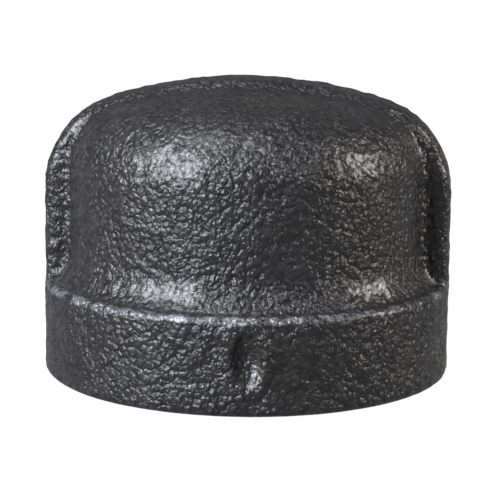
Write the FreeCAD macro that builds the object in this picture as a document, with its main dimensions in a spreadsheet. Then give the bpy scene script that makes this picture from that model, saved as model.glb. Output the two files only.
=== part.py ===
import FreeCAD, Part
import math
import os

import Sketcher

# Threaded pipe cap, nominal pipe size 1/2, Class 150 malleable iron, banded pattern.
# One casting: a thick collar (the band) at the open end, a narrower round body with a
# domed crown, and a raised strap (the hoop) that climbs one side of the body, crosses
# the crown and comes down the other side. The mouth is tapped 1/2-14 NPT.
#
# Frame: millimetres, origin at the centre of the machined mouth face, +Z along the cap's
# axis towards the crown, hoop in the X-Z plane, cast dimple on the -Y side of the band.

os.makedirs("parts", exist_ok=True)

# ---------------------------------------------------------------- driving dimensions
DIMENSIONS = [
    # outer form, ASME B16.3 Class 150 cap for 1/2 pipe
    ("band_radius", 15.2),            # outside of the band, 30.4 across
    ("band_height", 7.15),            # mouth face to the upper edge of the band
    ("band_foot_round", 0.55),        # rounded lower corner of the band
    ("cast_edge_round", 0.45),        # rounding of the band's upper edge and the hoop
    ("ledge_radius", 14.3),           # where the sweep from the body lands on the band
    ("sweep_top", 9.9),               # height where the wall starts to sweep outwards
    ("sweep_round", 3.6),             # radius of that hollow sweep
    ("body_radius", 13.25),           # round body above the band
    ("crown_height", 21.6),           # top of the dome
    ("crown_sphere", 36.0),           # shallow sphere that closes the dome
    ("shoulder_round", 5.2),          # shoulder between wall and dome
    # hoop
    ("hoop_height", 22.1),            # overall height of the cap
    ("hoop_width", 4.6),              # measured front to back
    ("hoop_radius", 15.2),            # its legs stand flush with the band
    ("hoop_sphere", 34.0),
    ("hoop_shoulder_round", 7.0),
    ("hoop_foot", 5.0),               # its legs are rooted in the band at this height
    ("hoop_stock", 1.5),              # slab size beyond the finished outline
    # tapped mouth, 1/2-14 NPT: drilled, reamed to the taper, then tapped
    ("drill_radius", 8.85),           # plain wall left beyond the reamer
    ("drill_depth", 15.0),
    ("ream_radius", 9.28),            # reamed wall, and thread crest, at the mouth face
    ("chamfer_radius", 11.0),         # 22 mm across at the mouth face
    ("thread_pitch", 1.8143),         # 14 threads to the inch
    ("thread_major_radius", 10.61),   # bottom of the groove at the mouth face
    ("thread_taper_angle", 1.7899),   # half angle of the 1 in 16 taper, degrees
    ("thread_end", 12.2),             # height of the last groove
    ("flank_angle", 30.0),            # each flank from the plane across the axis
    ("groove_root_flat", 0.12),
    ("groove_width", 1.76),           # widest the groove may be before turns would meet
    ("groove_run_on", 0.6),           # how far the cutter reaches inside the drilled wall
    # cored pocket beyond the drilled wall
    ("pocket_radius", 8.6),
    ("pocket_height", 18.4),
    ("pocket_corner_round", 2.4),
    ("pocket_sphere", 24.0),
    # cast dimple in the front of the band
    ("dimple_across", 1.15),          # half sizes of the ellipsoid that forms it
    ("dimple_upright", 2.1),
    ("dimple_inward", 0.9),
    ("dimple_stand_off", 0.4),        # ellipsoid centre outside the band surface
    ("dimple_side", 0.95),            # offset towards +X
    ("dimple_height", 4.1),           # centre above the mouth face
]

doc = FreeCAD.newDocument("pipe_cap")
sheet = doc.addObject("Spreadsheet::Sheet", "Dims")
for row, (name, value) in enumerate(DIMENSIONS, start=1):
    sheet.set("A%d" % row, name)
    sheet.set("B%d" % row, repr(value))
    sheet.setAlias("B%d" % row, name)
doc.recompute()
DIM = dict(DIMENSIONS)

body = doc.addObject("PartDesign::Body", "cap_casting")
body.Label = "cap_casting"


BODY_OUTLINE = ("body_radius", "crown_height", "crown_sphere", "shoulder_round")
HOOP_OUTLINE = ("hoop_radius", "hoop_height", "hoop_sphere", "hoop_shoulder_round")


# ---------------------------------------------------------------- sketch helpers
def origin_feature(role):
    """The plane or axis of the body's own origin that has this role."""
    return next(f for f in body.Origin.OriginFeatures if f.Role == role)


def new_sketch(name):
    """A sketch in the body's X-Z plane: sketch x is X, sketch y is the height Z."""
    sketch = body.newObject("Sketcher::SketchObject", name)
    sketch.AttachmentSupport = [(origin_feature("XZ_Plane"), "")]
    sketch.MapMode = "FlatFace"
    return sketch


def line(sketch, start, end):
    return sketch.addGeometry(
        Part.LineSegment(FreeCAD.Vector(*start, 0), FreeCAD.Vector(*end, 0)), False
    )


def arc(sketch, centre, radius, first, last):
    """Counter-clockwise arc, angles in degrees."""
    circle = Part.Circle(FreeCAD.Vector(*centre, 0), FreeCAD.Vector(0, 0, 1), radius)
    return sketch.addGeometry(
        Part.ArcOfCircle(circle, math.radians(first), math.radians(last)), False
    )


def join(sketch, first, first_end, second, second_end):
    sketch.addConstraint(
        Sketcher.Constraint("Coincident", first, first_end, second, second_end)
    )


def drive(sketch, kind, geometry, expression, value):
    """Adds one dimensional constraint and binds it to the sheet."""
    index = sketch.addConstraint(Sketcher.Constraint(kind, *geometry, value))
    sketch.setExpression("Constraints[%d]" % index, expression)


def place(sketch, geometry, end, x_expression, x_value, y_expression, y_value):
    """Fixes one point by its distances from the sketch axes."""
    for kind, expression, value in (
        ("DistanceX", x_expression, x_value),
        ("DistanceY", y_expression, y_value),
    ):
        if expression is None:
            axis = -2 if kind == "DistanceX" else -1
            sketch.addConstraint(
                Sketcher.Constraint("PointOnObject", geometry, end, axis)
            )
        else:
            drive(sketch, kind, (-1, 1, geometry, end), expression, value)


def dims(name):
    return "Dims." + name


START, END, CENTRE = 1, 2, 3


def dome_geometry(radius, height, sphere, shoulder):
    """Height where the wall ends and the angle where shoulder and sphere meet."""
    base = height - sphere
    wall_end = base + math.sqrt((sphere - shoulder) ** 2 - (radius - shoulder) ** 2)
    angle = math.degrees(math.atan2(wall_end - base, radius - shoulder))
    return wall_end, angle


def add_dome(sketch, foot, names):
    """Wall, shoulder arc and shallow sphere, from the foot point up to the axis.

    The names are the sheet's aliases for radius, height, sphere and shoulder.
    Returns the wall and the crown.
    """
    radius, height, sphere, shoulder = (DIM[name] for name in names)
    wall_end, angle = dome_geometry(radius, height, sphere, shoulder)
    wall = line(sketch, foot, (radius, wall_end))
    bend = arc(sketch, (radius - shoulder, wall_end), shoulder, 0, angle)
    crown = arc(sketch, (0, height - sphere), sphere, angle, 90)
    sketch.addConstraint(Sketcher.Constraint("Vertical", wall))
    sketch.addConstraint(Sketcher.Constraint("Tangent", wall, END, bend, START))
    sketch.addConstraint(Sketcher.Constraint("Tangent", bend, END, crown, START))
    sketch.addConstraint(Sketcher.Constraint("PointOnObject", crown, CENTRE, -2))
    place(sketch, crown, END, None, 0, dims(names[1]), height)
    drive(sketch, "Radius", (crown,), dims(names[2]), sphere)
    drive(sketch, "Radius", (bend,), dims(names[3]), shoulder)
    return wall, crown


def revolved(kind, name, sketch):
    feature = body.newObject(kind, name)
    feature.Profile = sketch
    feature.ReferenceAxis = (origin_feature("Z_Axis"), [""])
    feature.Angle = 360
    feature.Midplane = False
    doc.recompute()
    body.Tip = feature
    doc.recompute()
    return feature


def edges_where(test):
    """Names of the body's edges that pass the test."""
    shape = body.Tip.Shape
    return ["Edge%d" % n for n, edge in enumerate(shape.Edges, start=1) if test(edge)]


def rounded(name, size_name, test):
    base = body.Tip
    chosen = edges_where(test)
    feature = body.newObject("PartDesign::Fillet", name)
    feature.Base = (base, chosen)
    feature.setExpression("Radius", dims(size_name))
    doc.recompute()
    body.Tip = feature
    doc.recompute()
    return feature


def middle(edge):
    point = edge.valueAt((edge.FirstParameter + edge.LastParameter) / 2)
    return math.hypot(point.x, point.y), point.y, point.z


def is_ring(edge, radius, height):
    """Lies on a circle about the cap's axis at this radius and height."""
    if edge.Degenerated:
        return False
    reach, _, level = middle(edge)
    ends = all(abs(math.hypot(v.X, v.Y) - radius) < 0.01 for v in edge.Vertexes)
    return ends and abs(reach - radius) < 0.01 and abs(level - height) < 0.01


def is_hoop_edge(edge):
    """Lies on a side face of the hoop and on the hoop's outer surface."""
    if edge.Degenerated:
        return False
    radius, height, sphere, shoulder = (DIM[name] for name in HOOP_OUTLINE)
    wall_end, angle = dome_geometry(radius, height, sphere, shoulder)
    reach, side, level = middle(edge)
    half_width = DIM["hoop_width"] / 2
    if abs(abs(side) - half_width) > 0.01 or level < DIM["band_height"] + 0.01:
        return False
    if any(abs(abs(v.Y) - half_width) > 0.01 for v in edge.Vertexes):
        return False
    if level < wall_end:
        return abs(reach - radius) < 0.02
    if reach > sphere * math.cos(math.radians(angle)):
        return abs(math.hypot(reach - radius + shoulder, level - wall_end) - shoulder) < 0.02
    return abs(math.hypot(reach, level - height + sphere) - sphere) < 0.02


# ---------------------------------------------------------------- band, body and dome
outer = new_sketch("outer_profile")
radius, height = DIM["band_radius"], DIM["band_height"]
foot = line(outer, (0, 0), (radius, 0))
band = line(outer, (radius, 0), (radius, height))
ledge = line(outer, (radius, height), (DIM["ledge_radius"], height))
# The hollow sweep bulges towards the axis: its centre lies outside the body.
chord_start = (DIM["ledge_radius"], height)
chord_end = (DIM["body_radius"], DIM["sweep_top"])
half = math.dist(chord_start, chord_end) / 2
reach = math.sqrt(DIM["sweep_round"] ** 2 - half**2)
across = ((chord_end[1] - chord_start[1]) / (2 * half),
          (chord_start[0] - chord_end[0]) / (2 * half))
centre = ((chord_start[0] + chord_end[0]) / 2 + reach * across[0],
          (chord_start[1] + chord_end[1]) / 2 + reach * across[1])
sweep = arc(
    outer,
    centre,
    DIM["sweep_round"],
    math.degrees(math.atan2(chord_end[1] - centre[1], chord_end[0] - centre[0])),
    math.degrees(math.atan2(chord_start[1] - centre[1], chord_start[0] - centre[0])),
)
wall, crown = add_dome(outer, chord_end, BODY_OUTLINE)
axis_line = line(outer, (0, DIM["crown_height"]), (0, 0))
join(outer, foot, END, band, START)
join(outer, band, END, ledge, START)
join(outer, ledge, END, sweep, END)
join(outer, sweep, START, wall, START)
join(outer, crown, END, axis_line, START)
join(outer, axis_line, END, foot, START)
join(outer, foot, START, -1, 1)
outer.addConstraint(Sketcher.Constraint("Horizontal", foot))
outer.addConstraint(Sketcher.Constraint("Horizontal", ledge))
outer.addConstraint(Sketcher.Constraint("Vertical", band))
drive(outer, "DistanceX", (foot, START, foot, END), dims("band_radius"), radius)
drive(outer, "DistanceY", (band, START, band, END), dims("band_height"), height)
drive(outer, "DistanceX", (-1, 1, ledge, END), dims("ledge_radius"), chord_start[0])
place(outer, wall, START, dims("body_radius"), chord_end[0],
      dims("sweep_top"), chord_end[1])
drive(outer, "Radius", (sweep,), dims("sweep_round"), DIM["sweep_round"])
doc.recompute()
revolved("PartDesign::Revolution", "band_and_body", outer)

# ---------------------------------------------------------------- hoop
# A slab through the axis, cut to its outline by turning a profile round the cap.
slab = new_sketch("hoop_slab")
half_span = DIM["hoop_radius"] + DIM["hoop_stock"]
slab_top = DIM["hoop_height"] + DIM["hoop_stock"]
corners = [(-half_span, DIM["hoop_foot"]), (half_span, DIM["hoop_foot"]),
           (half_span, slab_top), (-half_span, slab_top)]
sides = [line(slab, corners[n], corners[(n + 1) % 4]) for n in range(4)]
for n in range(4):
    join(slab, sides[n], END, sides[(n + 1) % 4], START)
for side, direction in ((1, "Vertical"), (2, "Horizontal"), (3, "Vertical")):
    slab.addConstraint(Sketcher.Constraint(direction, sides[side]))
slab.addConstraint(Sketcher.Constraint("Symmetric", sides[0], START, sides[0], END, -2))
drive(slab, "DistanceX", (sides[0], START, sides[0], END),
      "2 * (Dims.hoop_radius + Dims.hoop_stock)", 2 * half_span)
drive(slab, "DistanceY", (-1, 1, sides[0], END), dims("hoop_foot"), DIM["hoop_foot"])
drive(slab, "DistanceY", (sides[1], START, sides[1], END),
      "Dims.hoop_height + Dims.hoop_stock - Dims.hoop_foot", slab_top - DIM["hoop_foot"])
doc.recompute()
hoop = body.newObject("PartDesign::Pad", "hoop")
hoop.Profile = slab
hoop.Midplane = True
hoop.setExpression("Length", dims("hoop_width"))
doc.recompute()
body.Tip = hoop
doc.recompute()

# Everything outside the hoop's outline, from the band's upper edge upwards.
trim = new_sketch("hoop_outline")
far = half_span + DIM["hoop_stock"]
top = slab_top + DIM["hoop_stock"]
leg, arch = add_dome(trim, (DIM["hoop_radius"], DIM["hoop_foot"]), HOOP_OUTLINE)
rise = line(trim, (0, DIM["hoop_height"]), (0, top))
lid = line(trim, (0, top), (far, top))
drop = line(trim, (far, top), (far, DIM["hoop_foot"]))
floor = line(trim, (far, DIM["hoop_foot"]), (DIM["hoop_radius"], DIM["hoop_foot"]))
join(trim, arch, END, rise, START)
join(trim, rise, END, lid, START)
join(trim, lid, END, drop, START)
join(trim, drop, END, floor, START)
join(trim, floor, END, leg, START)
for side, direction in ((rise, "Vertical"), (drop, "Vertical"),
                        (lid, "Horizontal"), (floor, "Horizontal")):
    trim.addConstraint(Sketcher.Constraint(direction, side))
place(trim, leg, START, dims("hoop_radius"), DIM["hoop_radius"],
      dims("hoop_foot"), DIM["hoop_foot"])
drive(trim, "DistanceX", (-1, 1, drop, START),
      "Dims.hoop_radius + 2 * Dims.hoop_stock", far)
drive(trim, "DistanceY", (-1, 1, drop, START),
      "Dims.hoop_height + 2 * Dims.hoop_stock", top)
doc.recompute()
revolved("PartDesign::Groove", "hoop_trim", trim)

# ---------------------------------------------------------------- cast rounding
rounded("cast_edges", "cast_edge_round",
        lambda e: is_hoop_edge(e) or is_ring(e, DIM["band_radius"], DIM["band_height"]))
rounded("band_foot", "band_foot_round", lambda e: is_ring(e, DIM["band_radius"], 0))

# ---------------------------------------------------------------- drilled mouth and pocket
bore = new_sketch("bore_profile")
taper = math.tan(math.radians(DIM["thread_taper_angle"]))
chamfer_top = (DIM["chamfer_radius"] - DIM["ream_radius"]) / (1 - taper)
ream_top = (DIM["ream_radius"] - DIM["drill_radius"]) / taper
mouth = line(bore, (0, 0), (DIM["chamfer_radius"], 0))
chamfer = line(bore, (DIM["chamfer_radius"], 0),
               (DIM["ream_radius"] - chamfer_top * taper, chamfer_top))
reamed = line(bore, (DIM["ream_radius"] - chamfer_top * taper, chamfer_top),
              (DIM["drill_radius"], ream_top))
drill = line(bore, (DIM["drill_radius"], ream_top), (DIM["drill_radius"], DIM["drill_depth"]))
step = line(bore, (DIM["drill_radius"], DIM["drill_depth"]),
            (DIM["pocket_radius"], DIM["drill_depth"]))
core, core_crown = add_dome(
    bore, (DIM["pocket_radius"], DIM["drill_depth"]),
    ("pocket_radius", "pocket_height", "pocket_sphere", "pocket_corner_round")
)
centre_line = line(bore, (0, DIM["pocket_height"]), (0, 0))
chain = (mouth, chamfer, reamed, drill, step, core)
for first, second in zip(chain, chain[1:]):
    join(bore, first, END, second, START)
join(bore, core_crown, END, centre_line, START)
join(bore, centre_line, END, mouth, START)
join(bore, mouth, START, -1, 1)
bore.addConstraint(Sketcher.Constraint("Horizontal", mouth))
bore.addConstraint(Sketcher.Constraint("Vertical", drill))
bore.addConstraint(Sketcher.Constraint("Horizontal", step))
drive(bore, "DistanceX", (-1, 1, mouth, END), dims("chamfer_radius"), DIM["chamfer_radius"])
CHAMFER_TOP = "(Dims.chamfer_radius - Dims.ream_radius) / (1 - tan(Dims.thread_taper_angle))"
place(bore, reamed, START,
      "Dims.chamfer_radius - " + CHAMFER_TOP, DIM["chamfer_radius"] - chamfer_top,
      CHAMFER_TOP, chamfer_top)
place(bore, drill, START, dims("drill_radius"), DIM["drill_radius"],
      "(Dims.ream_radius - Dims.drill_radius) / tan(Dims.thread_taper_angle)", ream_top)
drive(bore, "DistanceY", (-1, 1, drill, END), dims("drill_depth"), DIM["drill_depth"])
drive(bore, "DistanceX", (-1, 1, core, START), dims("pocket_radius"), DIM["pocket_radius"])
doc.recompute()
revolved("PartDesign::Groove", "bore_and_pocket", bore)

# ---------------------------------------------------------------- 1/2-14 NPT thread
# The groove starts one turn below the mouth face and winds up on a 1 in 16 taper. Its
# flanks stand at 60 degrees to each other; inside the reamed wall it runs on straight,
# so that a flat crest as wide as the reamer leaves it stays between the turns.
groove = new_sketch("thread_groove")
entry = -DIM["thread_pitch"]
entry_radius = DIM["thread_major_radius"] - entry * taper
flat, full = DIM["groove_root_flat"] / 2, DIM["groove_width"] / 2
flank_end = entry_radius - (full - flat) / math.tan(math.radians(DIM["flank_angle"]))
inner = DIM["drill_radius"] - DIM["groove_run_on"]
outline = [
    (entry_radius, entry - flat), (entry_radius, entry + flat),
    (flank_end, entry + full), (inner, entry + full),
    (inner, entry - full), (flank_end, entry - full),
]
sides = [line(groove, outline[n], outline[(n + 1) % 6]) for n in range(6)]
for n in range(6):
    join(groove, sides[n], END, sides[(n + 1) % 6], START)
root, upper_flank, upper, inside, lower, lower_flank = sides
for side, direction in ((root, "Vertical"), (inside, "Vertical"),
                        (upper, "Horizontal"), (lower, "Horizontal")):
    groove.addConstraint(Sketcher.Constraint(direction, side))
ENTRY_RADIUS = "(Dims.thread_major_radius + Dims.thread_pitch * tan(Dims.thread_taper_angle))"
drive(groove, "DistanceX", (-1, 1, root, START), ENTRY_RADIUS, entry_radius)
drive(groove, "DistanceY", (root, START, -1, 1),
      "Dims.thread_pitch + Dims.groove_root_flat / 2", flat - entry)
drive(groove, "DistanceY", (root, START, root, END), dims("groove_root_flat"), 2 * flat)
drive(groove, "DistanceX", (-1, 1, upper, START),
      ENTRY_RADIUS + " - (Dims.groove_width - Dims.groove_root_flat)"
      " / 2 / tan(Dims.flank_angle)", flank_end)
drive(groove, "DistanceX", (-1, 1, lower, END),
      ENTRY_RADIUS + " - (Dims.groove_width - Dims.groove_root_flat)"
      " / 2 / tan(Dims.flank_angle)", flank_end)
drive(groove, "DistanceY", (upper, START, -1, 1),
      "Dims.thread_pitch - Dims.groove_width / 2", -entry - full)
drive(groove, "DistanceY", (lower, END, -1, 1),
      "Dims.thread_pitch + Dims.groove_width / 2", -entry + full)
drive(groove, "DistanceX", (-1, 1, inside, START),
      "Dims.drill_radius - Dims.groove_run_on", inner)
doc.recompute()
thread = body.newObject("PartDesign::SubtractiveHelix", "npt_thread")
thread.Profile = groove
thread.ReferenceAxis = (origin_feature("Z_Axis"), [""])
thread.Mode = "pitch-height-angle"
thread.setExpression("Pitch", dims("thread_pitch"))
thread.setExpression("Height", "Dims.thread_end + Dims.thread_pitch")
thread.setExpression("Angle", "-Dims.thread_taper_angle")
doc.recompute()
body.Tip = thread
doc.recompute()

# ---------------------------------------------------------------- cast dimple
dimple = body.newObject("PartDesign::SubtractiveEllipsoid", "dimple")
dimple.AttachmentSupport = [(origin_feature("XY_Plane"), "")]
dimple.MapMode = "FlatFace"
dimple.setExpression("Radius1", dims("dimple_upright"))
dimple.setExpression("Radius2", dims("dimple_across"))
dimple.setExpression("Radius3", dims("dimple_inward"))
dimple.setExpression("AttachmentOffset.Base.x", dims("dimple_side"))
dimple.setExpression("AttachmentOffset.Base.y", "-Dims.band_radius - Dims.dimple_stand_off")
dimple.setExpression("AttachmentOffset.Base.z", dims("dimple_height"))
doc.recompute()
body.Tip = dimple
doc.recompute()

# ---------------------------------------------------------------- checks and export
for feature in doc.Objects:
    if "Invalid" in feature.State or "Error" in feature.State:
        raise RuntimeError("%s did not build" % feature.Name)

# Each cut must remove a sensible amount of metal, and the hoop must add some.
steps = [body.getObject(name) for name in
         ("hoop_trim", "cast_edges", "bore_and_pocket", "npt_thread", "dimple")]
for before, after in zip(steps, steps[1:]):
    lost = before.Shape.cut(after.Shape).Volume
    if not 1.0 < lost < before.Shape.Volume / 2:
        raise RuntimeError("%s removed %.3f cubic mm" % (after.Name, lost))
if body.getObject("hoop_trim").Shape.Volume <= body.getObject("band_and_body").Shape.Volume:
    raise RuntimeError("the hoop added nothing")

for piece in (body,):
    shape = piece.Shape
    if shape.isNull() or not shape.isValid() or len(shape.Solids) != 1:
        raise RuntimeError("%s is not one valid solid" % piece.Label)
    shape.exportStep("parts/%s.step" % piece.Label)
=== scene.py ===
import math

import bmesh
import bpy
import numpy as np
import openvdb
from mathutils import Matrix, Vector


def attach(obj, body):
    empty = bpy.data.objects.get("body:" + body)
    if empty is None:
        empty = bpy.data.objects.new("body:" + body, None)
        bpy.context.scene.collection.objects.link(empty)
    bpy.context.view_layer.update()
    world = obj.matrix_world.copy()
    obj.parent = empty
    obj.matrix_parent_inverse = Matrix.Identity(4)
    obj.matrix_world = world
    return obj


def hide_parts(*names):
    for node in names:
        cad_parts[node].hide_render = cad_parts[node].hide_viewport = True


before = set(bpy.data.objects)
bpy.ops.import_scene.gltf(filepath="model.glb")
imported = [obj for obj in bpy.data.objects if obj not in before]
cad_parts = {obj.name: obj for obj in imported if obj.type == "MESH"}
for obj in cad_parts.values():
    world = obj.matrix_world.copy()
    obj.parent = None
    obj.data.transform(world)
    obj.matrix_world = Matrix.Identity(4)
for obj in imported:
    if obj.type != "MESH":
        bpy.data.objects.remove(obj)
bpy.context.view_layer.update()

# The cap is worked out in millimetres, and MM turns them into metres. The stage is in metres.
MM = 0.001
NODE = "cap_casting"

# ------------------------------------------------------------------ the cap's sizes
BAND_RADIUS, BAND_HEIGHT = 15.2, 7.15
LEDGE_RADIUS = 14.3
BODY_RADIUS, SWEEP_TOP, SWEEP_ROUND = 13.25, 9.9, 3.6
FOOT_ROUND, BAND_EDGE_ROUND = 0.55, 0.55
CROWN = dict(radius=BODY_RADIUS, height=21.6, sphere=36.0, shoulder=5.2)
HOOP = dict(radius=BAND_RADIUS, height=22.1, sphere=34.0, shoulder=7.0)
HOOP_HALF_WIDTH, HOOP_EDGE_SOFT = 2.3, 0.9
# The blend at the hoop's root grows from almost nothing at the band to its full width.
ROOT_BLEND, ROOT_BLEND_RISE, ROOT_BLEND_LEAST = 0.45, 2.5, 0.06
# Plain oval dimple in the front of the band, with a low soft lip.
DIMPLE_AT, DIMPLE_OUT = (0.95, -15.17, 4.1), 0.4
DIMPLE_SIZE, LIP_SIZE = (1.15, 0.95, 2.1), (1.6, 0.14, 2.6)
DIMPLE_SOFT, LIP_SOFT = 0.3, 0.5
DIMPLE_REACH = 4                        # how far above and below its middle it is worked out

# Drilled, reamed and tapped mouth, with the cored pocket above it.
DRILL_RADIUS, DRILL_DEPTH = 8.85, 15.0
CHAMFER_RADIUS, REAM_RADIUS = 11.0, 9.28
PITCH, MAJOR_RADIUS, TAPER = 1.8143, 10.61, 1 / 32
THREAD_END, THREAD_RUN_OUT = 12.2, 0.9
ROOT_FLAT, THREAD_FLANK = 0.06, math.radians(30)
POCKET = dict(radius=8.6, height=18.4, sphere=24.0, shoulder=2.4)

# Relief of the sand-cast skin: height, width of a lump, seed.
LUMPS = ((0.030, 3.2, 11), (0.028, 1.35, 12), (0.035, 0.62, 13))
GRAIN_HEIGHT, GRAIN_WIDTH, GRAIN_MIDDLE, GRAIN_SEED = 0.080, 0.74, 0.45, 14
GRAIN_PATCH_WIDTH, GRAIN_PATCH_SEED = 3.0, 15
FLAT_FOOT = 0.35                        # the relief fades out towards the faced mouth

# Fineness of the meshes.
VOXEL = 0.205
GRID_SIDE, GRID_BOTTOM, GRID_TOP = 16.6, -1.2, 23.4
TURN_STEPS = 144
PLUG_FOOT, PLUG_TOP = -0.5, THREAD_END + 1.0
GROOVE_ROWS = (-0.80, -0.62, -0.42, -0.22, -ROOT_FLAT, ROOT_FLAT, 0.22, 0.42, 0.62, 0.80)
NEAR_AXIS = 0.4                         # the pocket's rings stop this far from the axis
MERGE_DISTANCE, LEAST_EDGE = 1e-4, 1e-5


# ------------------------------------------------------------------ outlines
def arc_points(cx, cz, radius, first, last, count=24):
    """Points (r, z) on an arc, angles in degrees."""
    turn = np.radians(np.linspace(first, last, count))
    return [(cx + radius * math.cos(t), cz + radius * math.sin(t)) for t in turn]


def dome(radius, height, sphere, shoulder):
    """Wall end, shoulder arc and shallow sphere, up to the axis."""
    base = height - sphere
    wall_end = base + math.sqrt((sphere - shoulder) ** 2 - (radius - shoulder) ** 2)
    angle = math.degrees(math.atan2(wall_end - base, radius - shoulder))
    return (arc_points(radius - shoulder, wall_end, shoulder, 0, angle)
            + arc_points(0, base, sphere, angle, 90)[1:])


def foot():
    """Underside and rounded lower corner, from the axis outwards."""
    corner = BAND_RADIUS - FOOT_ROUND
    return [(0, 0)] + arc_points(corner, FOOT_ROUND, FOOT_ROUND, -90, 0)


def band_edge():
    """Rounded top corner of the band."""
    return arc_points(BAND_RADIUS - BAND_EDGE_ROUND, BAND_HEIGHT - BAND_EDGE_ROUND,
                      BAND_EDGE_ROUND, 0, 90)


def sweep():
    """Hollow arc between the band's ledge and the wall."""
    (x0, z0), (x1, z1) = (LEDGE_RADIUS, BAND_HEIGHT), (BODY_RADIUS, SWEEP_TOP)
    half = math.dist((x0, z0), (x1, z1)) / 2
    reach = math.sqrt(SWEEP_ROUND ** 2 - half ** 2)
    cx = (x0 + x1) / 2 + reach * (z1 - z0) / (2 * half)
    cz = (z0 + z1) / 2 + reach * (x0 - x1) / (2 * half)
    first = math.degrees(math.atan2(z0 - cz, x0 - cx)) % 360
    last = math.degrees(math.atan2(z1 - cz, x1 - cx)) % 360
    return arc_points(cx, cz, SWEEP_ROUND, first, last)


# ------------------------------------------------------------------ distance fields
def outline_field(outline, step=0.06, reach=(17.5, 25.0), low=-1.5):
    """Signed distance to a turned outline, on a grid over (r, z)."""
    r = np.arange(0, reach[0], step)
    z = np.arange(low, reach[1], step)
    R, Z = np.meshgrid(r, z, indexing="ij")
    points = np.array(outline)
    best = np.full(R.shape, np.inf)
    crossings = np.zeros(R.shape, int)
    for (x0, z0), (x1, z1) in zip(points, points[1:]):
        dx, dz = x1 - x0, z1 - z0
        squared = dx * dx + dz * dz
        if squared < 1e-12:
            continue
        t = np.clip(((R - x0) * dx + (Z - z0) * dz) / squared, 0, 1)
        best = np.minimum(best, np.hypot(R - x0 - t * dx, Z - z0 - t * dz))
        spans = (z0 <= Z) != (z1 <= Z)
        if abs(dz) > 1e-12:
            at = x0 + (Z - z0) * dx / dz
            crossings += spans & (at > R)
    inside = crossings % 2 == 1
    return np.where(inside, -best, best), step, low


def look_up(field, radius, height):
    """Bilinear reading of an outline field."""
    grid, step, low = field
    u = np.clip(radius / step, 0, grid.shape[0] - 1.001)
    v = np.clip((height - low) / step, 0, grid.shape[1] - 1.001)
    i, j = u.astype(int), v.astype(int)
    fu, fv = u - i, v - j
    return ((grid[i, j] * (1 - fu) + grid[i + 1, j] * fu) * (1 - fv)
            + (grid[i, j + 1] * (1 - fu) + grid[i + 1, j + 1] * fu) * fv)


def soft_min(a, b, width):
    """Union of two distances, blended over the width."""
    mix = np.clip(0.5 + 0.5 * (b - a) / width, 0, 1)
    return b * (1 - mix) + a * mix - width * mix * (1 - mix)


def soft_max(a, b, width):
    """Overlap of two distances, blended over the width."""
    return -soft_min(-a, -b, width)


def ellipsoid(x, y, z, size):
    """Near distance to an ellipsoid at the origin; size holds its half widths."""
    near = np.sqrt((x / size[0]) ** 2 + (y / size[1]) ** 2 + (z / size[2]) ** 2)
    slope = np.sqrt((x / size[0] ** 2) ** 2 + (y / size[1] ** 2) ** 2
                    + (z / size[2] ** 2) ** 2)
    return near * (near - 1) / np.maximum(slope, 1e-6)


# ------------------------------------------------------------------ cast-surface noise
def smooth_noise(points, cell, seed, size=32):
    """Smooth random field in -1..1 whose lumps are about one cell wide."""
    table = np.random.RandomState(seed).uniform(-1, 1, (size, size, size))
    scaled_points = points / cell + 100.0
    base = np.floor(scaled_points).astype(int)
    part = scaled_points - base
    part = part * part * part * (part * (part * 6 - 15) + 10)
    total = np.zeros(len(points))
    for dx in (0, 1):
        for dy in (0, 1):
            for dz in (0, 1):
                weight = (np.where(dx, part[:, 0], 1 - part[:, 0])
                          * np.where(dy, part[:, 1], 1 - part[:, 1])
                          * np.where(dz, part[:, 2], 1 - part[:, 2]))
                total += weight * table[(base[:, 0] + dx) % size,
                                        (base[:, 1] + dy) % size,
                                        (base[:, 2] + dz) % size]
    return total


def pebbles(points, cell, seed, size=32):
    """Rounded grains packed side by side: 1 at a grain's middle, 0 between grains."""
    jitter = np.random.RandomState(seed).uniform(0.1, 0.9, (size, size, size, 3))
    scaled_points = points / cell + 100.0
    base = np.floor(scaled_points).astype(int)
    nearest = np.full(len(points), np.inf)
    for dx in (-1, 0, 1):
        for dy in (-1, 0, 1):
            for dz in (-1, 0, 1):
                at = base + np.array((dx, dy, dz))
                spot = at + jitter[at[:, 0] % size, at[:, 1] % size, at[:, 2] % size]
                nearest = np.minimum(nearest, ((spot - scaled_points) ** 2).sum(axis=1))
    return np.clip(1 - nearest / 0.7, 0, 1)


# ------------------------------------------------------------------ outer casting
def dimple(solid, X, Y, z):
    """The casting's distance at height z, with the band's dimple and its lip worked in."""
    x, y, up = X - DIMPLE_AT[0], Y - DIMPLE_AT[1], z - DIMPLE_AT[2]
    lip = ellipsoid(x, y, up, LIP_SIZE)
    hollow = ellipsoid(x, y + DIMPLE_OUT, up, DIMPLE_SIZE)
    return soft_max(soft_min(solid, lip, LIP_SOFT), -hollow, DIMPLE_SOFT)


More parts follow.
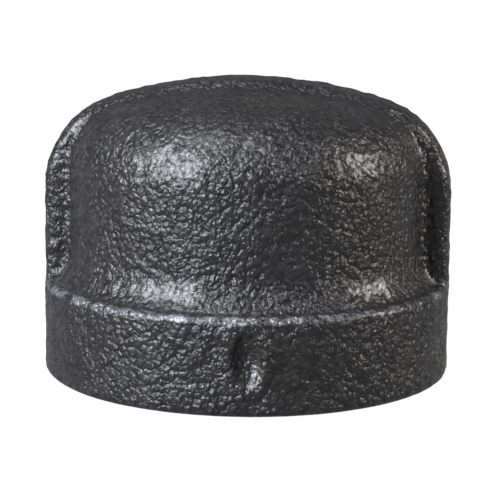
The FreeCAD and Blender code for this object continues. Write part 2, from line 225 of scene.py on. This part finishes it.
def outer_casting():
    """Vertices (mm) and quads of the solid casting, before the mouth is bored."""
    body_field = outline_field(foot() + band_edge() + sweep() + dome(**CROWN))
    hoop_field = outline_field(foot() + dome(**HOOP))
    xs = np.arange(-GRID_SIDE, GRID_SIDE + VOXEL, VOXEL)
    zs = np.arange(GRID_BOTTOM, GRID_TOP, VOXEL)
    grid = np.empty((len(xs), len(xs), len(zs)), np.float32)
    X, Y = np.meshgrid(xs, xs, indexing="ij")
    radius = np.hypot(X, Y)
    for k, z in enumerate(zs):
        level = np.full(X.shape, z)
        body = look_up(body_field, radius, level)
        hoop = soft_max(look_up(hoop_field, radius, level),
                        np.abs(Y) - HOOP_HALF_WIDTH, HOOP_EDGE_SOFT)
        rise = (z - BAND_HEIGHT) / ROOT_BLEND_RISE
        blend = ROOT_BLEND * min(max(rise, ROOT_BLEND_LEAST), 1.0)
        solid = soft_min(body, hoop, blend)
        if abs(z - DIMPLE_AT[2]) < DIMPLE_REACH:
            solid = dimple(solid, X, Y, z)
        grid[:, :, k] = solid
    volume = openvdb.FloatGrid(1e3)
    volume.copyFromArray(grid)
    points, quads = volume.convertToQuads(0.0)
    points = points.astype(float) * VOXEL + np.array((-GRID_SIDE, -GRID_SIDE, GRID_BOTTOM))
    return points, quads[:, ::-1]


def relax(points, quads, rounds=2):
    """Evens out the lattice steps that the creases pick up."""
    start, end = quads.ravel(), np.roll(quads, -1, axis=1).ravel()
    ties = np.bincount(start, minlength=len(points))[:, None]
    for _ in range(rounds):
        around = np.stack([np.bincount(start, points[end, axis], len(points))
                           for axis in range(3)], axis=1) / ties
        points = (points + around) / 2
    return points


def mesh_from(name, points, faces):
    mesh = bpy.data.meshes.new(name)
    mesh.from_pydata([tuple(p) for p in points], [], [tuple(f) for f in faces])
    mesh.update()
    return mesh


def roughen(mesh, points):
    """Moves the cast skin in and out along its normals; the faced mouth stays flat."""
    normals = np.empty(len(mesh.vertices) * 3, np.float32)
    mesh.vertex_normals.foreach_get("vector", normals)
    normals = normals.reshape(-1, 3).astype(float)
    relief = sum(height * smooth_noise(points, width, seed) for height, width, seed in LUMPS)
    patches = smooth_noise(points, GRAIN_PATCH_WIDTH, GRAIN_PATCH_SEED)
    relief += (GRAIN_HEIGHT * (pebbles(points, GRAIN_WIDTH, GRAIN_SEED) - GRAIN_MIDDLE)
               * np.clip(0.75 + 0.6 * patches, 0.2, 1.3))
    cast = np.clip(points[:, 2] / FLAT_FOOT, 0, 1)
    moved = points + normals * (relief * cast)[:, None]
    mesh.vertices.foreach_set("co", (moved * MM).astype(np.float32).ravel())
    mesh.update()


def cast_skin_mesh():
    """The rough outside of the casting, in metres."""
    points, quads = outer_casting()
    points = relax(points, quads)
    mesh = mesh_from("cap_skin", points, quads)
    roughen(mesh, points)
    return mesh


# ------------------------------------------------------------------ drilled and tapped mouth
def wall_radius(offset, height):
    """Radius of the tapped wall; offset is the height above the groove's middle."""
    major = MAJOR_RADIUS - height * TAPER
    away = max(abs(offset) - ROOT_FLAT, 0)
    groove = major - away / math.tan(THREAD_FLANK)
    run_out = min(max((THREAD_END + THREAD_RUN_OUT - height) / THREAD_RUN_OUT, 0), 1)
    reamed = max(REAM_RADIUS - height * TAPER, DRILL_RADIUS)
    tapped = reamed + max(groove - reamed, 0) * run_out
    return max(tapped, CHAMFER_RADIUS - height)


def thread_points(turns):
    """Rows of points that wind up the wall with the thread."""
    points = []
    for turn in range(turns):
        for offset in GROOVE_ROWS:
            for i in range(TURN_STEPS):
                share = i / TURN_STEPS
                height = (turn - 2 + share) * PITCH + offset
                height = min(max(height, PLUG_FOOT), PLUG_TOP)
                local = (height - share * PITCH + PITCH / 2) % PITCH - PITCH / 2
                radius = wall_radius(local, height)
                points.append((radius * math.cos(2 * math.pi * share),
                               radius * math.sin(2 * math.pi * share), height))
    return points


def thread_faces(rows):
    """Quads between the winding rows; the seam climbs one turn."""
    faces = []
    for j in range(rows - 1):
        for i in range(TURN_STEPS):
            after = (i + 1) % TURN_STEPS
            climb = len(GROOVE_ROWS) if i == TURN_STEPS - 1 else 0
            if j + 1 + climb < rows:
                faces.append((j * TURN_STEPS + i, (j + climb) * TURN_STEPS + after,
                              (j + 1 + climb) * TURN_STEPS + after, (j + 1) * TURN_STEPS + i))
    return faces


def ring_faces(low, high):
    """Quads between two level rings, given by their first points."""
    following = [(i + 1) % TURN_STEPS for i in range(TURN_STEPS)]
    return [(low + i, low + after, high + after, high + i) for i, after in enumerate(following)]


def mouth_plug():
    """Closed form of the space inside the cap: thread, plain land, step and cored pocket."""
    turns = int((THREAD_END + 2.5) / PITCH) + 3  # from below the mouth to past the thread
    rows = turns * len(GROOVE_ROWS)
    points, faces = thread_points(turns), thread_faces(rows)
    rings = [(DRILL_RADIUS, DRILL_DEPTH), (POCKET["radius"], DRILL_DEPTH)]
    rings += [p for p in dome(**POCKET)[::3] if p[0] > NEAR_AXIS]
    low = (rows - 1) * TURN_STEPS
    for radius, height in rings:
        high = len(points)
        for i in range(TURN_STEPS):
            angle = 2 * math.pi * i / TURN_STEPS
            points.append((radius * math.cos(angle), radius * math.sin(angle), height))
        faces += ring_faces(low, high)
        low = high
    crown_point, foot_point = len(points), len(points) + 1
    points += [(0, 0, POCKET["height"]), (0, 0, PLUG_FOOT)]
    for i in range(TURN_STEPS):
        after = (i + 1) % TURN_STEPS
        faces.append((low + i, low + after, crown_point))
        faces.append((after, i, foot_point))
    return points, faces


def plug_mesh():
    """The plug in metres, with its flattened rows merged."""
    mesh = mesh_from("plug", *mouth_plug())
    work = bmesh.new()
    work.from_mesh(mesh)
    bmesh.ops.remove_doubles(work, verts=work.verts, dist=MERGE_DISTANCE)
    bmesh.ops.dissolve_degenerate(work, dist=LEAST_EDGE, edges=work.edges)
    bmesh.ops.recalc_face_normals(work, faces=work.faces)
    loose = [v for v in work.verts if not v.link_faces]
    bmesh.ops.delete(work, geom=loose, context="VERTS")
    for v in work.verts:
        v.co *= MM
    work.to_mesh(mesh)
    work.free()
    return mesh


def bore_out(skin, plug):
    """The casting with the plug's space removed, as one closed mesh."""
    solid = bpy.data.objects.new("cap_body", skin)
    tool = bpy.data.objects.new("bore_tool", plug)
    for o in (solid, tool):
        bpy.context.scene.collection.objects.link(o)
    cut = solid.modifiers.new("bore", "BOOLEAN")
    cut.operation, cut.solver, cut.object = "DIFFERENCE", "EXACT", tool
    bpy.context.view_layer.update()
    result = bpy.data.meshes.new_from_object(
        solid.evaluated_get(bpy.context.evaluated_depsgraph_get()))
    solid.modifiers.clear()
    solid.data = result
    bpy.data.objects.remove(tool)
    bpy.data.meshes.remove(plug)
    return solid


# ------------------------------------------------------------------ cut and cast faces
MACHINED_REACH = 11.25                  # just past the chamfer, in millimetres
HARD_BEND = math.radians(28)            # cut faces that turn more than this keep their edge


def face_vectors(mesh, name):
    values = np.empty(len(mesh.polygons) * 3, np.float32)
    mesh.polygons.foreach_get(name, values)
    return values.reshape(-1, 3)


def split_finishes(mesh):
    """Tapped wall and faced mouth take the machined finish and keep their edges."""
    centres, facing = face_vectors(mesh, "center") / MM, face_vectors(mesh, "normal")
    reach = np.hypot(centres[:, 0], centres[:, 1])
    tapped = (reach < MACHINED_REACH) & (centres[:, 2] < DRILL_DEPTH + 0.05)
    faced = (centres[:, 2] < 0.03) & (facing[:, 2] < -0.95)
    mesh.polygons.foreach_set("material_index", (tapped | faced).astype(np.int32))
    mesh.polygons.foreach_set("use_smooth", np.ones(len(mesh.polygons), bool))
    sides = {}
    for polygon, is_cut in zip(mesh.polygons, tapped | faced):
        for key in polygon.edge_keys:
            sides.setdefault(key, []).append((is_cut, polygon.index))
    hard = np.zeros(len(mesh.edges), bool)
    for edge in mesh.edges:
        (cut_a, a), (cut_b, b) = sides[edge.key]
        bend = float(np.dot(facing[a], facing[b]))
        hard[edge.index] = cut_a != cut_b or (cut_a and bend < math.cos(HARD_BEND))
    mesh.attributes.new("sharp_edge", "BOOLEAN", "EDGE").data.foreach_set("value", hard)


# ------------------------------------------------------------------ shader helpers
def new_material(name):
    material = bpy.data.materials.new(name)
    material.use_nodes = True
    tree = material.node_tree
    tree.nodes.clear()
    out = tree.nodes.new("ShaderNodeOutputMaterial")
    shader = tree.nodes.new("ShaderNodeBsdfPrincipled")
    tree.links.new(shader.outputs["BSDF"], out.inputs["Surface"])
    return material, tree, shader


def feed(tree, socket, value):
    """Links another node's output to a socket, or sets a plain value on it."""
    if isinstance(value, bpy.types.NodeSocket):
        tree.links.new(value, socket)
    else:
        socket.default_value = value


def add_node(tree, kind, inputs=None, **settings):
    node = tree.nodes.new(kind)
    for key, value in settings.items():
        setattr(node, key, value)
    for key, value in (inputs or {}).items():
        feed(tree, node.inputs[key], value)
    return node


def noise(tree, coords, size_mm, detail=2.0, rough=0.5, output="Fac"):
    return add_node(tree, "ShaderNodeTexNoise",
                    {"Vector": coords, "Scale": 1 / (size_mm * MM), "Detail": detail,
                     "Roughness": rough}).outputs[output]


def grains(tree, coords, size_mm, smooth):
    """Height that is 0 at a grain's middle and grows towards its rim."""
    return add_node(tree, "ShaderNodeTexVoronoi",
                    {"Vector": coords, "Scale": 1 / (size_mm * MM), "Smoothness": smooth},
                    feature="SMOOTH_F1").outputs["Distance"]


def ramp(tree, factor, stops):
    """Colour from a list of stops: place, colour."""
    node = add_node(tree, "ShaderNodeValToRGB", {"Fac": factor})
    elements = node.color_ramp.elements
    while len(elements) > 1:
        elements.remove(elements[-1])
    elements[0].position, elements[0].color = stops[0][0], (*stops[0][1], 1)
    for place, colour in stops[1:]:
        elements.new(place).color = (*colour, 1)
    return node.outputs["Color"]


def scaled(tree, value, low, high, new_low, new_high):
    """The value's range low..high brought to new_low..new_high, and held there."""
    return add_node(tree, "ShaderNodeMapRange",
                    {"Value": value, "From Min": low, "From Max": high,
                     "To Min": new_low, "To Max": new_high}).outputs["Result"]


def combine(tree, kind, a, b=0.0):
    return add_node(tree, "ShaderNodeMath", {0: a, 1: b}, operation=kind).outputs[0]


def mix_colour(tree, factor, a, b):
    """Colour a where the factor is 0, colour b where it is 1."""
    node = add_node(tree, "ShaderNodeMix", data_type="RGBA", blend_type="MIX")
    sockets = {socket.identifier: socket for socket in node.inputs}
    feed(tree, sockets["Factor_Float"], factor)
    for name, colour in (("A_Color", a), ("B_Color", b)):
        feed(tree, sockets[name], (*colour, 1) if isinstance(colour, tuple) else colour)
    return next(o for o in node.outputs if o.identifier == "Result_Color")


def axis_distance(tree, parts):
    """Distance from the cap's axis, from a split position."""
    square = combine(tree, "ADD", combine(tree, "POWER", parts.outputs["X"], 2.0),
                     combine(tree, "POWER", parts.outputs["Y"], 2.0))
    return combine(tree, "SQRT", square, 0.5)


# ------------------------------------------------------------------ materials
# The first colour is painted shade between the sand grains; the second is dust.
CREVICE_SHADE_COLOUR, DUST_COLOUR = (0.006, 0.0058, 0.0065), (0.075, 0.075, 0.078)
# Worn bare metal on the band's top edge, made brighter as a painted highlight.
WORN_EDGE_HIGHLIGHT_COLOUR, WORN_EDGE_HIGHLIGHT_METAL = (0.20, 0.20, 0.215), 0.6
OIL_COLOUR = (0.07, 0.066, 0.062)
TOOL_MARK_PITCH = 0.22


def scale_colour(tree, coords, patches):
    """Black scale, cooler in some places and warmer in others."""
    cool = ramp(tree, patches, [(0.30, (0.012, 0.0115, 0.0135)),
                                (0.52, (0.023, 0.0222, 0.025)),
                                (0.72, (0.038, 0.0368, 0.042))])
    warm = ramp(tree, patches, [(0.30, (0.012, 0.011, 0.0112)),
                                (0.52, (0.023, 0.021, 0.0213)),
                                (0.72, (0.037, 0.034, 0.034))])
    broad = noise(tree, coords, 6.0, 3.0)
    return mix_colour(tree, scaled(tree, broad, 0.42, 0.60, 0.0, 1.0), cool, warm)


def warped_grains(tree, coords):
    """Sand grains 0.42 mm wide, bent a little out of line."""
    bend = noise(tree, coords, 0.5, 1.0, output="Color")
    bent = add_node(tree, "ShaderNodeVectorMath", {0: bend, "Scale": 0.35 * MM},
                    operation="SCALE").outputs[0]
    warped = add_node(tree, "ShaderNodeVectorMath", {0: coords, 1: bent},
                      operation="ADD").outputs[0]
    return grains(tree, warped, 0.42, 0.3)


def worn_edge_and_highlight(tree, coords):
    """1 where the band's top edge is worn bright and carries a painted highlight, in ragged
    patches.
    """
    parts = add_node(tree, "ShaderNodeSeparateXYZ", {"Vector": coords})
    from_edge = combine(tree, "SUBTRACT", parts.outputs["Z"], (BAND_HEIGHT - 0.22) * MM)
    near = scaled(tree, combine(tree, "ABSOLUTE", from_edge), 0.15 * MM, 0.42 * MM, 1.0, 0.0)
    outside = scaled(tree, axis_distance(tree, parts),
                     (LEDGE_RADIUS + 0.35) * MM, (LEDGE_RADIUS + 0.6) * MM, 0.0, 1.0)
    ragged = scaled(tree, noise(tree, coords, 0.9, 3.0, 0.7), 0.46, 0.58, 0.0, 1.0)
    return combine(tree, "MULTIPLY", combine(tree, "MULTIPLY", near, outside), ragged)


def cast_skin():
    """Sand-cast iron under a thin oily black coat."""
    material, tree, shader = new_material("black_iron_skin")
    coords = add_node(tree, "ShaderNodeTexCoord").outputs["Object"]
    patches = noise(tree, coords, 1.6, 4.0, 0.6)
    coarse = warped_grains(tree, coords)
    colour = scale_colour(tree, coords, patches)
    # Painted shade: the colour goes near black towards each grain's rim, where shade falls
    # between the grains.
    crevice_shade = scaled(tree, coarse, 0.30, 0.70, 0.0, 0.75)
    colour = mix_colour(tree, crevice_shade, colour, CREVICE_SHADE_COLOUR)
    dust = scaled(tree, noise(tree, coords, 0.35, 3.0, 0.6), 0.58, 0.72, 0.0, 0.35)
    colour = mix_colour(tree, dust, colour, DUST_COLOUR)
    # Partly wear, partly painted highlight: the band's top edge gets a lighter, metallic colour
    # along the line where the lamps glint.
    worn_and_highlight = worn_edge_and_highlight(tree, coords)
    colour = mix_colour(tree, worn_and_highlight, colour, WORN_EDGE_HIGHLIGHT_COLOUR)
    tree.links.new(colour, shader.inputs["Base Color"])
    tree.links.new(combine(tree, "MULTIPLY", worn_and_highlight, WORN_EDGE_HIGHLIGHT_METAL), shader.inputs["Metallic"])
    # Dull scale between the oily grains breaks the highlights up.
    oily = noise(tree, coords, 0.30, 3.0, 0.6)
    gloss = combine(tree, "ADD", scaled(tree, patches, 0.3, 0.7, 0.34, 0.24),
                    scaled(tree, oily, 0.34, 0.56, 0.18, -0.04))
    tree.links.new(gloss, shader.inputs["Roughness"])
    tree.links.new(scaled(tree, oily, 0.40, 0.60, 0.0, 0.60), shader.inputs["Coat Weight"])
    shader.inputs["IOR"].default_value = 1.5
    shader.inputs["Specular IOR Level"].default_value = 0.5
    shader.inputs["Coat Roughness"].default_value = 0.16
    fine = noise(tree, coords, 0.20, 2.0)
    height = combine(tree, "ADD", combine(tree, "MULTIPLY", coarse, -1.0),
                     combine(tree, "MULTIPLY", fine, 0.7))
    # The sand left the skin rougher in some places than in others.
    depth = scaled(tree, noise(tree, coords, 2.2, 2.0), 0.35, 0.65, 0.65, 1.30)
    height = combine(tree, "MULTIPLY", height, depth)
    bump = add_node(tree, "ShaderNodeBump",
                    {"Height": height, "Strength": 1.0, "Distance": 0.155 * MM})
    tree.links.new(bump.outputs["Normal"], shader.inputs["Normal"])
    return material


def machined_iron():
    """Cut thread and faced mouth: bare grey iron under cutting oil, with tool marks."""
    material, tree, shader = new_material("machined_iron")
    coords = add_node(tree, "ShaderNodeTexCoord").outputs["Object"]
    patches = noise(tree, coords, 1.8, 4.0, 0.6)
    specks = noise(tree, coords, 0.18, 3.0, 0.6)
    colour = ramp(tree, patches, [(0.32, (0.10, 0.095, 0.09)), (0.55, (0.21, 0.205, 0.20)),
                                  (0.75, (0.30, 0.295, 0.29))])
    colour = mix_colour(tree, scaled(tree, specks, 0.55, 0.75, 0.0, 0.5), colour, OIL_COLOUR)
    tree.links.new(colour, shader.inputs["Base Color"])
    tree.links.new(scaled(tree, patches, 0.3, 0.7, 0.42, 0.28), shader.inputs["Roughness"])
    shader.inputs["Metallic"].default_value = 0.85
    parts = add_node(tree, "ShaderNodeSeparateXYZ", {"Vector": coords})
    waves = combine(tree, "MULTIPLY", axis_distance(tree, parts),
                    2 * math.pi / (TOOL_MARK_PITCH * MM))
    rings = combine(tree, "SINE", waves)
    height = combine(tree, "ADD", combine(tree, "MULTIPLY", rings, 0.35), specks)
    bump = add_node(tree, "ShaderNodeBump",
                    {"Height": height, "Strength": 0.45, "Distance": 0.03 * MM})
    tree.links.new(bump.outputs["Normal"], shader.inputs["Normal"])
    return material


# ------------------------------------------------------------------ the cap
cap = bore_out(cast_skin_mesh(), plug_mesh())
split_finishes(cap.data)
cap.data.materials.clear()
cap.data.materials.append(cast_skin())
cap.data.materials.append(machined_iron())
cap.name = "cap_body"
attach(cap, "root")
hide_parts(NODE)


# ------------------------------------------------------------------ floor, light, camera
# The sweep is white to the eye; what it throws back on the cap is set apart.
FLOOR_SEEN, FLOOR_BOUNCE = 0.98, 0.27
FLOOR_COLOUR = (0.10, 0.10, 0.10, 1)
WORLD_SEEN, WORLD_FRONT, WORLD_BACK = 1.25, 0.02, 0.18
FLOOR_HALF, FLOOR_DROP = 1.5, 0.00005
LAMPS_AIM = (0, 0, 0.011)
# Name, place, width, height, watts, colour.
LAMPS = (("key", (-0.195, -0.178, 0.146), 0.20, 0.20, 2.30, (0.90, 0.93, 1.0)),
         ("top", (-0.060, -0.040, 0.30), 0.13, 0.13, 0.35, (0.94, 0.96, 1.0)),
         ("side", (0.255, -0.020, 0.115), 0.10, 0.12, 0.54, (1.0, 0.955, 0.90)))
CAMERA_TURN = 3.4                       # degrees towards +X from straight ahead
CAMERA_SIDE, CAMERA_REACH, CAMERA_HEIGHT = 0.00020, 0.155, 0.03892
CAMERA_PITCH, CAMERA_ROLL = 10.93, 0.6  # degrees
CAMERA_LENS, CAMERA_SENSOR = 150.5, 36  # millimetres
CAMERA_CLIP = (0.005, 20)


def white_sweep():
    """Floor material: white to the camera, dimmer in what it throws on the cap."""
    material = bpy.data.materials.new("white_sweep")
    material.use_nodes = True
    tree = material.node_tree
    tree.nodes.clear()
    out = tree.nodes.new("ShaderNodeOutputMaterial")
    matt = add_node(tree, "ShaderNodeBsdfDiffuse", {"Color": FLOOR_COLOUR})
    glow = add_node(tree, "ShaderNodeEmission", {"Strength": FLOOR_SEEN})
    bounce = add_node(tree, "ShaderNodeEmission", {"Strength": FLOOR_BOUNCE})
    seen = add_node(tree, "ShaderNodeAddShader", {0: matt.outputs[0], 1: glow.outputs[0]})
    by_camera = add_node(tree, "ShaderNodeLightPath").outputs["Is Camera Ray"]
    pick = add_node(tree, "ShaderNodeMixShader",
                    {0: by_camera, 1: bounce.outputs[0], 2: seen.outputs[0]})
    tree.links.new(pick.outputs[0], out.inputs["Surface"])
    return material


def floor_plane():
    corners = [(-FLOOR_HALF, -FLOOR_HALF, 0), (FLOOR_HALF, -FLOOR_HALF, 0),
               (FLOOR_HALF, FLOOR_HALF, 0), (-FLOOR_HALF, FLOOR_HALF, 0)]
    plane = mesh_from("floor", corners, [(0, 1, 2, 3)])
    plane.materials.append(white_sweep())
    floor = bpy.data.objects.new("floor", plane)
    bpy.context.scene.collection.objects.link(floor)
    floor.location.z = -FLOOR_DROP


def studio_world():
    """White sweep behind the cap, darker room on the camera's side."""
    world = bpy.data.worlds.new("studio")
    world.use_nodes = True
    tree = world.node_tree
    tree.nodes.clear()
    out = tree.nodes.new("ShaderNodeOutputWorld")
    coords = add_node(tree, "ShaderNodeTexCoord").outputs["Generated"]
    parts = add_node(tree, "ShaderNodeSeparateXYZ", {"Vector": coords})
    strength = scaled(tree, parts.outputs["Y"], 0.0, 0.6, WORLD_FRONT, WORLD_BACK)
    seen = add_node(tree, "ShaderNodeLightPath").outputs["Is Camera Ray"]
    unseen = combine(tree, "MULTIPLY", combine(tree, "SUBTRACT", 1.0, seen), strength)
    both = combine(tree, "ADD", unseen, combine(tree, "MULTIPLY", seen, WORLD_SEEN))
    back = add_node(tree, "ShaderNodeBackground", {"Strength": both})
    tree.links.new(back.outputs[0], out.inputs["Surface"])
    bpy.context.scene.world = world


def soft_light(name, at, width, height, watts, colour):
    data = bpy.data.lights.new(name, "AREA")
    data.shape, data.size, data.size_y = "RECTANGLE", width, height
    data.energy, data.color = watts, colour
    lamp = bpy.data.objects.new(name, data)
    lamp.location = at
    aim = Vector(LAMPS_AIM) - Vector(at)
    lamp.rotation_euler = aim.to_track_quat("-Z", "Y").to_euler()
    bpy.context.scene.collection.objects.link(lamp)


def main_camera():
    data = bpy.data.cameras.new("camera")
    data.sensor_width, data.lens = CAMERA_SENSOR, CAMERA_LENS
    data.clip_start, data.clip_end = CAMERA_CLIP
    camera = bpy.data.objects.new("camera", data)
    bpy.context.scene.collection.objects.link(camera)
    turn = Matrix.Rotation(math.radians(CAMERA_TURN), 4, "Z")
    look = (Matrix.Translation((CAMERA_SIDE, -CAMERA_REACH, CAMERA_HEIGHT))
            @ Matrix.Rotation(math.radians(90 - CAMERA_PITCH), 4, "X")
            @ Matrix.Rotation(math.radians(CAMERA_ROLL), 4, "Z"))
    camera.matrix_world = turn @ look
    bpy.context.scene.camera = camera
    bpy.context.scene.view_settings.view_transform = "Standard"


floor_plane()
studio_world()
for lamp_row in LAMPS:
    soft_light(*lamp_row)
main_camera()
